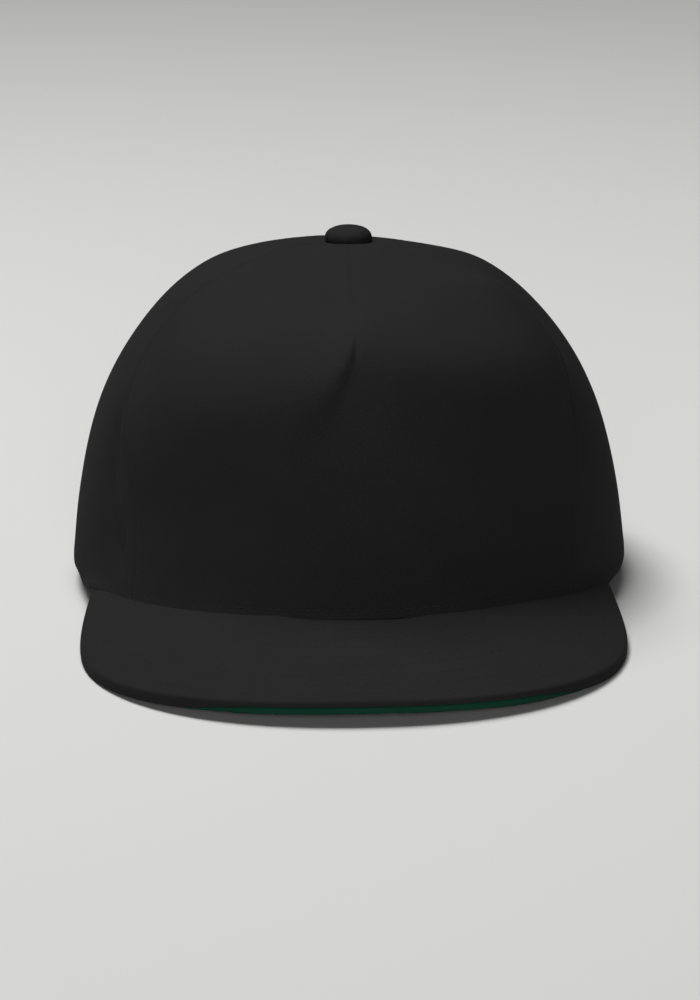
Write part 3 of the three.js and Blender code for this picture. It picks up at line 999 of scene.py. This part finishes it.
bill = {
    "fall": math.tan(math.radians(9.3)),  # slope of its centre line below the rim
    "halfWidth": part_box("bill_top")[1].x,
    "widestAt": -85 * mm,
    "reach": 84.5 * mm,
    "roundness": 2.22,
    "rearReach": 155 * mm,
    "rearEnd": -45 * mm,
    "skin": 0.1 * mm,  # depth of the upper face under the rim
    "thickness": 4.7 * mm,
    "upperEdge": 1.0 * mm,  # radius
    "lowerEdge": 1.7 * mm,
    "seamDepth": 2.1 * mm,  # where the two cloths meet on the edge
    "lowSeamDepth": 4.4 * mm,  # and where the black one is rolled under, at the corners
    "endShare": 0.5,
    "taper": 18 * mm,
    "ribs": 150,
    "rows": 8,
    "firstRow": 6.0 * mm,
    "rowSpacing": 7.2 * mm,
    "groove": 0.08 * mm,
    "grooveWidth": 0.42 * mm,
    "puff": 0.05 * mm,
    "puffStarts": (1 * mm, 5 * mm),
    "inner": 2.3 * mm,  # depth of the face between the two cloths
    "least": 1.5 * mm,  # how far the cloths reach in where the bill ends
    "fade": 1 * mm,  # grooves end before the crown
    "rise": {"from": 14 * mm, "to": 3 * mm, "height": 0.4 * mm},  # towards the crown
    "wave": {"height": 0.35 * mm, "length": 45 * mm, "starts": (0, 20 * mm)},
    "leftCorner": (31 * mm, 56 * mm),  # where the black cloth starts and ends to be rolled under
    "rightCorner": (50 * mm, 75 * mm),
}


def billEdge():
    a, y0, b = bill["halfWidth"], bill["widestAt"], bill["reach"]
    power = 2 / bill["roundness"]
    sideX = lambda y: a * math.sqrt(1 - ((y - y0) / bill["rearReach"]) ** 2)
    points = [Vector((-sideX(y), y)) for y in spaced(bill["rearEnd"], y0, 60)]
    for i in range(1, 400):
        turn = math.pi * i / 400
        x = -a * math.copysign(abs(math.cos(turn)) ** power, math.cos(turn))
        points.append(Vector((x, y0 - b * math.sin(turn) ** power)))
    points += [Vector((sideX(y), y)) for y in spaced(y0, bill["rearEnd"], 60)]
    lengths = lengthsAlong(points)
    edge = []
    for at in spaced(0, lengths[-1], bill["ribs"]):
        i, t = stretchAt(lengths, at)
        edge.append(points[i].lerp(points[i + 1], t))
    return edge, lengths[-1]


# Distance from an edge point to the inner side of the crown's wall, along the inward normal
def depthOfBill(point, inward):
    a, b = rim["side"] - crown["wall"], rim["front"] - crown["wall"]
    p = Vector((point.x / a, point.y / b))
    d = Vector((inward.x / a, inward.y / b))
    half, c = p @ d, p @ p - 1
    root = half * half - d @ d * c
    if root < 0:
        return 2 * bill["least"]
    return max((-half - math.sqrt(root)) / (d @ d), bill["least"])


def billLevel(x, y):
    reach = rim["front"] * math.sqrt(max(0, 1 - (x / rim["side"]) ** 2))
    return -bill["fall"] * max(0, -y - reach)


grooves = [bill["firstRow"] + bill["rowSpacing"] * n for n in range(bill["rows"])]
grooveSteps = [g + d * mm for g in grooves for d in (-2.2, -0.8, -0.35, 0, 0.35, 0.8, 2.2)]
edgeTurns = [math.radians(t) for t in (0, 22, 45, 67, 90)]


def faceRelief(distance):
    sunk = sum(bell((distance - g) / bill["grooveWidth"]) for g in grooves) * bill["groove"]
    raised = 0.5 - 0.5 * math.cos(2 * math.pi * (distance - bill["firstRow"]) / bill["rowSpacing"])
    return sunk - bill["puff"] * raised * ease(distance, *bill["puffStarts"])


# How far the black cloth is rolled under, from none at the middle to all of it at both corners
def rolledUnder(x):
    return max(ease(-x, *bill["leftCorner"]), ease(x, *bill["rightCorner"]))


# Sections as lists of (distance from the edge, depth, relief) round the board. The two numbers of a lerp are
# those of the bill's middle and of its corners.
def upperSection(under):
    seam = lerp(bill["seamDepth"], bill["lowSeamDepth"], under)
    r = bill["upperEdge"]
    side = [
        (lerp(0.6, 1.9, under) * mm, seam, 0),
        (lerp(0.15, 0.6, under) * mm, seam - lerp(0.05, 0.25, under) * mm, 0),
        (0, seam - lerp(0.35, 1.2, under) * mm, 0),
    ]
    rounded = [(r - r * math.cos(t), bill["skin"] + r - r * math.sin(t), 0) for t in edgeTurns]
    face = [(d, bill["skin"], 1) for d in grooveSteps]
    inner = bill["inner"]
    back = [(far, inner, 0), (6 * mm, inner, 0), (lerp(2, 3, under) * mm, min(seam, inner + 0.6 * mm), 0)]
    return back + side + rounded + face + [(far, bill["skin"], 0)]


def lowerSection(under):
    seam = lerp(bill["seamDepth"], bill["lowSeamDepth"], under)
    inset = lerp(0.3, 2.1, under) * mm
    base = bill["thickness"]
    r = max(min(bill["lowerEdge"], base - seam - 0.25 * mm), 0.12 * mm)
    rounded = [(inset + r - r * math.cos(t), base - r + r * math.sin(t), 0) for t in reversed(edgeTurns)]
    side = [
        (inset, min(seam + 0.3 * mm, base - r - 0.02 * mm), 0),
        (inset + 0.2 * mm, seam + 0.08 * mm, 0),
        (inset + 0.6 * mm, seam + 0.05 * mm, 0),
    ]
    face = [(d, base, -1) for d in reversed(grooveSteps)]
    inner = bill["inner"] + 0.05 * mm
    low = min(seam + 0.05 * mm, inner + 0.6 * mm)
    back = [(inset + 2 * mm, low, 0), (6.5 * mm, inner, 0), (far, inner, 0)]
    return [(far, base, 0)] + face + rounded + side + back


def layBillCloth(name, section, node, material):
    edge, length = billEdge()
    ribs = []
    for n, point in enumerate(edge):
        before, after = edge[max(n - 1, 0)], edge[min(n + 1, len(edge) - 1)]
        tangent = (after - before).normalized()
        inward = Vector((-tangent.y, tangent.x))
        deep = depthOfBill(point, inward)
        fromEnd = min(n, len(edge) - 1 - n) / (len(edge) - 1) * length
        share = lerp(bill["endShare"], 1, ease(fromEnd, 0, bill["taper"]))
        ribs.append((point, inward, deep, share))
    around = len(section(0))
    sheet = gridSheet(name, around, len(ribs))
    mapPlaces = [None] * (around * len(ribs))
    grid = [[None] * len(ribs) for _ in range(around)]
    up = Vector((0, bill["fall"], 1)).normalized()
    rise, wave = bill["rise"], bill["wave"]
    for i, (point, inward, deep, share) in enumerate(ribs):
        for j, (distance, depth, relief) in enumerate(section(rolledUnder(point.x))):
            inside = min(distance, deep)
            x, y = point + inward * inside
            z = billLevel(x, y) - depth * share - droop(x, y)
            fade = 1 - ease(distance, deep - bill["fade"], deep)
            z -= relief * faceRelief(inside) * share * fade
            bend = noise.noise(Vector((x, y, 0)) / wave["length"]) * ease(inside, *wave["starts"])
            z += wave["height"] * bend
            if relief > 0:
                z += rise["height"] * ease(distance, deep - rise["from"], deep - rise["to"])
            sheet.data.vertices[j * len(ribs) + i].co = (x, y, z)
            mapPlaces[j * len(ribs) + i] = (x, y - 2 * depth)
            grid[j][i] = (Vector((x, y, z)), up if relief >= 0 else -up, distance < deep - bill["fade"])
    layMap(sheet, mapPlaces)
    editMesh(sheet)
    bpy.ops.mesh.select_all(action="SELECT")
    bpy.ops.mesh.remove_doubles(threshold=0.02 * mm)
    bpy.ops.mesh.select_all(action="DESELECT")
    bpy.ops.mesh.select_non_manifold()
    bpy.ops.mesh.fill()
    bpy.ops.mesh.select_all(action="SELECT")
    bpy.ops.mesh.normals_make_consistent(inside=False)
    objectMode()
    subdivide(sheet, 1)
    finishPiece(sheet, material, node)
    lines = []
    for j, (distance, _, relief) in enumerate(section(0)):
        if relief and distance in grooves:
            lines.append([(place, up) for place, up, shown in grid[j] if shown])
    return lines


topLines = layBillCloth("bill_cloth_top", upperSection, "bill_top", blackTwill)
sew("bill_stitches_top", topLines, blackThread)
underLines = layBillCloth("bill_cloth_under", lowerSection, "bill_underside", greenTwill)
sew("bill_stitches_under", underLines, greenThread)
print("bill covered and sewn")


# Button: a covered dome, with the cloth drawn in round its foot, and the washer that holds it inside

button = {
    "offCentre": 1.1 * mm,  # sewn on a little to the right
    "level": 3.0 * mm,  # of its shoulder, above the crown's top
    "tilt": math.radians(6),  # towards the front
    "pleats": 11,
    "pleatDepth": 0.1 * mm,
    "pleatWander": 1.3,
    "pleatEnds": (-0.8, 1.2),  # heights between which pleats fade out
    "uneven": 0.1 * mm,
    "wave": 3.5 * mm,
    "cloth": 4 * mm,  # how far a turn of its outline counts on its map
    "profile": [  # reach and height in millimetres, from its top to its foot
        (0, 2.75), (2.7, 2.6), (5.0, 2.1), (6.4, 1.35), (7.2, 0.4), (7.5, -0.5),
        (7.5, -1.5), (7.4, -2.5), (6.6, -3.1), (3.0, -3.3), (0, -3.3),
    ],
}


def makeButton():
    rings = len(button["profile"]) - 1
    bpy.ops.object.select_all(action="DESELECT")
    bpy.ops.mesh.primitive_uv_sphere_add(segments=66, ring_count=rings, radius=1)
    dome = bpy.context.object
    dome.name = "button_cloth"
    centre = Vector((button["offCentre"], 0, crown["holeHeight"] + button["level"]))
    mapPlaces = []
    for vertex in dome.data.vertices:
        ring = round(math.acos(min(max(vertex.co.z, -1), 1)) / math.pi * rings)
        reach, height = button["profile"][ring]
        turn = math.atan2(vertex.co.y, vertex.co.x)
        across = Vector((math.cos(turn), math.sin(turn), 0))
        phase = button["pleats"] * turn + button["pleatWander"] * math.sin(2 * turn)
        pleat = button["pleatDepth"] * (1 - ease(height, *button["pleatEnds"])) * math.cos(phase)
        spot = across * (reach * mm + pleat * min(1, reach / 4)) + Vector((0, 0, height * mm))
        spot.z += button["uneven"] * noise.noise(spot / button["wave"])
        mapPlaces.append(across.xy * math.pi * ring / rings * button["cloth"])
        spot.rotate(Euler((button["tilt"], 0, 0)))
        vertex.co = spot + centre
    layMap(dome, mapPlaces)
    subdivide(dome, 2)
    finishPiece(dome, blackTwill, "button")


washer = {
    "top": crown["holeHeight"] - 3 * mm,
    "radius": 6 * mm,
    "thickness": 1.4 * mm,
    "brim": 1.6 * mm,
    "dish": 0.5 * mm,
    "edge": 0.35 * mm,
}


def makeWasher():
    bpy.ops.object.select_all(action="DESELECT")
    bpy.ops.mesh.primitive_cylinder_add(vertices=40, radius=washer["radius"], depth=washer["thickness"],
                                        location=(0, 0, washer["top"] - washer["thickness"] / 2))
    disc = takeUp("button_washer")
    editMesh(disc, "FACE")
    objectMode()
    for face in disc.data.polygons:
        face.select = face.normal.z < -0.9
    bpy.ops.object.mode_set(mode="EDIT")
    bpy.ops.mesh.inset(thickness=washer["brim"])
    bpy.ops.transform.translate(value=(0, 0, washer["dish"]))
    objectMode()
    roundEdges(disc, washer["edge"], 3, 30)
    finishPiece(disc, satinPlastic, smooth=False)
    selectOnly(disc)
    bpy.ops.object.shade_smooth_by_angle(angle=math.radians(40))


makeButton()
makeWasher()
print("button made")


# Sweatband: a turned strip of cotton inside the rim

band = {
    "edge": 0.55 * mm,
    "lines": (4.4 * mm, 27.8 * mm),  # heights of its stitching
    "radius": 92 * mm,
    "unevenness": 0.21 * mm,
    "wave": 18 * mm,
}


def makeSweatband():
    strip = mergedCopy("sweatband", "sweatband_cloth")
    strip.data.transform(rimFrame.inverted())
    editMesh(strip, "EDGE")
    bpy.ops.mesh.edges_select_sharp(sharpness=math.radians(50))
    bpy.ops.mesh.bevel(offset=band["edge"], segments=3, profile=0.5, affect="EDGES")
    objectMode()
    subdivide(strip, 2)
    mapPlaces = []
    for vertex in strip.data.vertices:
        x, y, z = vertex.co
        out = Vector((x, y, 0)).normalized()
        mapPlaces.append((math.atan2(x, -y) * band["radius"], z))
        vertex.co += out * band["unevenness"] * noise.noise(vertex.co / band["wave"])
    if not strip.data.uv_layers:
        strip.data.uv_layers.new(name="UVMap")
    layMap(strip, mapPlaces)
    tree = castingTree(strip)
    finishPiece(strip, bandCotton, "sweatband")
    lines = []
    for height in band["lines"]:
        line = []
        for azimuth in spaced(-154, 154, 240):
            a = math.radians(azimuth)
            out = Vector((math.sin(a), -math.cos(a), 0))
            hit, normal, *_ = tree.ray_cast(Vector((0, 0, height)), out)
            if hit:
                line.append((hit, normal))
        lines.append(line)
    sew("sweatband_stitches", lines, blackThread, lift=0)


makeSweatband()
print("sweatband made")


# Strap: two moulded halves that overlap, one with pegs and one with holes

strap = {
    "middle": 11.9 * mm,  # height of its middle line
    "width": 19 * mm,
    "thickness": 1.0 * mm,
    "corner": 8.5 * mm,
    "pitch": 9.5 * mm,
    "hole": 2.3 * mm,  # radius
    "peg": 1.9 * mm,
    "pegHeight": 1.7 * mm,
    "pegRoot": -0.4 * mm,
    "pegEdge": 0.45 * mm,
    "edge": 0.25 * mm,
    "inner": 2.45 * mm,  # depth of the inner half's outer face below the crown's
    "outer": 1.3 * mm,
    "goesDown": (28 * mm, 40 * mm),
    "tucked": 44 * mm,  # how far its ends go behind the panels
    "overlap": 24 * mm,
    "sections": [
        {"height": 0.0, "side": 89.0 * mm, "back": 104.0 * mm},
        {"height": 16 * mm, "side": 87.6 * mm, "back": 104.4 * mm},
        {"height": 32 * mm, "side": 85.0 * mm, "back": 103.0 * mm},
    ],
}


# A place on the crown's form behind, a length round from the middle of the back, a height up and a depth in
def behind(length, height, depth):
    low, high = (strap["sections"][:2] if height < strap["sections"][1]["height"] else strap["sections"][1:])
    t = (height - low["height"]) / (high["height"] - low["height"])
    a, b = lerp(low["side"], high["side"], t), lerp(low["back"], high["back"], t)
    # The angle of an ellipse whose curve is nearly a circle's here
    angle = length / a
    for _ in range(4):
        angle -= (ellipseLength(a, b, angle) - length) / math.hypot(a * math.cos(angle), b * math.sin(angle))
    x, y = a * math.sin(angle), b * math.cos(angle)
    out = Vector((x / a ** 2, y / b ** 2, 0)).normalized()
    return Vector((x, y, height)) - out * depth


def ellipseLength(a, b, angle):
    steps = 12
    h = angle / steps
    ends = [math.hypot(a * math.cos(h * k), b * math.sin(h * k)) for k in range(steps + 1)]
    return h / 3 * (ends[0] + ends[-1] + 4 * sum(ends[1:-1:2]) + 2 * sum(ends[2:-1:2]))


# Lays a flat part of the strap round the back. The outer half goes down to the inner one's depth at one side.
def wrapStrap(piece, outer=False):
    for vertex in piece.data.vertices:
        length, height, out = vertex.co
        depth = strap["inner"]
        if outer:
            depth = lerp(strap["outer"], depth, ease(-length, *strap["goesDown"]))
        vertex.co = behind(length, strap["middle"] + height, depth - out)


def flatStrip(name, start, end):
    bpy.ops.object.select_all(action="DESELECT")
    bpy.ops.mesh.primitive_cube_add(size=1, location=((start + end) / 2, 0, -strap["thickness"] / 2),
                                    scale=(abs(end - start), strap["width"], strap["thickness"]))
    strip = takeUp(name)
    # The free end is rounded
    editMesh(strip, "EDGE")
    objectMode()
    for edge in strip.data.edges:
        a, b = (strip.data.vertices[v].co for v in edge.vertices)
        edge.select = abs(a.x - end) < 0.1 * mm and abs(b.x - end) < 0.1 * mm and abs(a.z - b.z) > 0.5 * mm
    bpy.ops.object.mode_set(mode="EDIT")
    bpy.ops.mesh.bevel(offset=strap["corner"], segments=10, profile=0.5, affect="EDGES")
    objectMode()
    return strip


def pegRow(name, places, radius, low, high):
    bpy.ops.object.select_all(action="DESELECT")
    bpy.ops.mesh.primitive_cylinder_add(vertices=24, radius=radius, depth=high - low,
                                        location=(places[0], 0, (low + high) / 2))
    pegs = takeUp(name)
    addModifier(pegs, "ARRAY", count=len(places), use_relative_offset=False, use_constant_offset=True,
                constant_offset_displace=(places[1] - places[0], 0, 0))
    applyModifiers(pegs)
    return pegs


def cutAcross(piece, low, high, step):
    editMesh(piece)
    at = low + step
    while at < high:
        bpy.ops.mesh.select_all(action="SELECT")
        bpy.ops.mesh.bisect(plane_co=(at, 0, 0), plane_no=(1, 0, 0))
        at += step
    objectMode()


def makeStrap():
    pitch = strap["pitch"]
    holed = flatStrip("strap_half_holes", -strap["tucked"], strap["overlap"])
    cutter = pegRow("strap_cutter", [pitch * n for n in range(-3, 3)], strap["hole"], -3 * mm, 3 * mm)
    addModifier(holed, "BOOLEAN", operation="DIFFERENCE", object=cutter, solver="EXACT")
    applyModifiers(holed)
    bpy.data.objects.remove(cutter)
    pegged = flatStrip("strap_half_pegs", strap["tucked"], -strap["overlap"])
    places = [pitch * n for n in range(-2, 4)]
    pegs = pegRow("strap_pegs", places, strap["peg"], strap["pegRoot"], strap["pegHeight"])
    roundEdges(pegs, strap["pegEdge"], 3, 40)
    for strip in (holed, pegged):
        roundEdges(strip, strap["edge"], 2, 50)
        cutAcross(strip, -strap["tucked"], strap["tucked"], 2.5 * mm)
    wrapStrap(holed, outer=True)
    wrapStrap(pegged)
    wrapStrap(pegs)
    finishPiece(holed, satinPlastic, "rear_strap", smooth=False)
    finishPiece(pegged, satinPlastic, smooth=False)
    finishPiece(pegs, satinPlastic, smooth=False)
    for piece in (holed, pegged, pegs):
        selectOnly(piece)
        bpy.ops.object.shade_smooth_by_angle(angle=math.radians(35))


makeStrap()
bpy.data.objects.remove(stitch)
print("strap made")


# Stage: a pale floor that turns up into a wall far off

stage = {"radius": 5.0, "turnUp": 2.0, "wall": 3.0, "colour": (0.55, 0.55, 0.545)}


def makeStage():
    bpy.ops.object.select_all(action="DESELECT")
    bpy.ops.mesh.primitive_circle_add(vertices=64, radius=stage["radius"], fill_type="NGON")
    floor = bpy.context.object
    floor.name = "floor"
    bpy.ops.object.mode_set(mode="EDIT")
    bpy.ops.mesh.select_mode(type="EDGE")
    bpy.ops.mesh.select_all(action="SELECT")
    bpy.ops.mesh.region_to_loop()
    turns = spaced(0, math.pi / 2, 9)
    for before, after in zip(turns, turns[1:]):
        near, next = (stage["radius"] + stage["turnUp"] * math.sin(turn) for turn in (before, after))
        rise = stage["turnUp"] * (math.cos(before) - math.cos(after))
        bpy.ops.mesh.extrude_edges_move(TRANSFORM_OT_translate={"value": (0, 0, rise)})
        bpy.ops.transform.resize(value=(next / near, next / near, 1), center_override=(0, 0, 0))
    bpy.ops.mesh.extrude_edges_move(TRANSFORM_OT_translate={"value": (0, 0, stage["wall"])})
    objectMode()
    bpy.ops.object.shade_smooth_by_angle(angle=math.radians(50))
    material, tree, shader = newMaterial("paleFloor", Roughness=0.9, Specular_IOR_Level=0.1)
    shader.inputs["Base Color"].default_value = (*stage["colour"], 1)
    floor.data.materials.append(material)


makeStage()


# Light: three soft ones overhead, more from the left than from the right, and a weaker one low in front

lights = [
    {"name": "overhead", "place": (0, 0.1, 2.0), "size": 0.7, "power": 10.5},
    {"name": "overheadLeft", "place": (-0.5, 0.1, 2.0), "size": 0.7, "power": 24.0},
    {"name": "overheadBack", "place": (-0.6, 0.7, 1.9), "size": 0.7, "power": 19.0},
    {"name": "front", "place": (0, -2.3, 0.55), "size": 0.8, "power": 21.7},
]
worldLight = 0.01


def makeLights():
    for each in lights:
        data = bpy.data.lights.new(each["name"], "AREA")
        data.shape = "SQUARE"
        data.size = each["size"]
        data.energy = each["power"]
        light = bpy.data.objects.new(each["name"], data)
        light.location = each["place"]
        aim = Vector((0, 0, 0.05)) - light.location
        light.rotation_euler = aim.to_track_quat("-Z", "Y").to_euler()
        bpy.context.collection.objects.link(light)
    world = bpy.data.worlds.new("studio")
    world.use_nodes = True
    world.node_tree.nodes["Background"].inputs["Color"].default_value = (1, 1, 1, 1)
    world.node_tree.nodes["Background"].inputs["Strength"].default_value = worldLight
    bpy.context.scene.world = world


makeLights()


# Camera: in front, 14.4 degrees above the surface, turned by less than a degree

camera = {
    "target": Vector((0.6 * mm, 37.4 * mm, 23.0 * mm)),
    "distance": 1.5,
    "down": math.radians(14.4),
    "side": math.radians(0.75),
    "roll": math.radians(0.7),
    "lens": 167.2,
}


def makeCamera():
    forward = Vector((
        math.sin(camera["side"]) * math.cos(camera["down"]),
        math.cos(camera["side"]) * math.cos(camera["down"]),
        -math.sin(camera["down"]),
    ))
    right = forward.cross(Vector((0, 0, 1))).normalized()
    up = right.cross(forward)
    turnedRight = right * math.cos(camera["roll"]) - up * math.sin(camera["roll"])
    turnedUp = turnedRight.cross(forward)
    data = bpy.data.cameras.new("camera")
    data.lens = camera["lens"]
    data.sensor_width = 36
    data.clip_start = 0.05
    data.clip_end = 50
    eye = bpy.data.objects.new("camera", data)
    axes = Matrix((turnedRight, turnedUp, -forward)).transposed()
    eye.matrix_world = Matrix.Translation(camera["target"] - forward * camera["distance"]) @ axes.to_4x4()
    bpy.context.collection.objects.link(eye)
    bpy.context.scene.camera = eye


makeCamera()
bpy.context.scene.view_settings.view_transform = "Standard"

print("scene ready")
